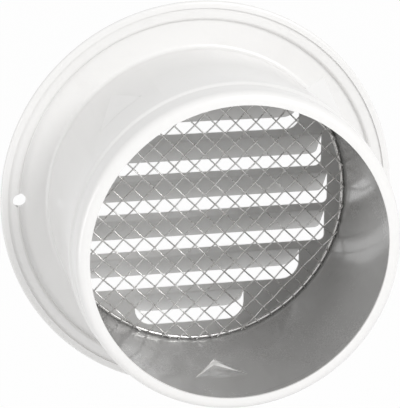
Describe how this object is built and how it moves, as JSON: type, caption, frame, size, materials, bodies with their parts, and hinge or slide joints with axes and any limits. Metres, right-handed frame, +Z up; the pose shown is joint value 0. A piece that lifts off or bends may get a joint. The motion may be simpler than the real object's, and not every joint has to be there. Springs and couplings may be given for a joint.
{
  "type": "vent cover",
  "caption": "Round louvred wall vent cover with a rolled rim, a raised panel, a duct collar with spring tabs and an insect screen in the collar's root.",
  "frame": {"origin": "on the duct's axis, in the plane where the rim's back meets the wall", "axes": "+Y along the tube into the wall, -Y out of the louvred face, +Z up with the blades hinged at their upper edges"},
  "size_m": [0.128, 0.0782, 0.128],
  "materials": {
    "painted_plate": "semi-gloss white enamel",
    "painted_collar": "semi-gloss white enamel",
    "screen_wire": "bright drawn wire",
    "ring_wire": "bright drawn wire"
  },
  "bodies": {
    "root": {"face_plate": "painted_plate", "duct_collar": "painted_collar", "screen": "screen_wire", "screen_ring": "ring_wire"}
  },
  "joints": []
}
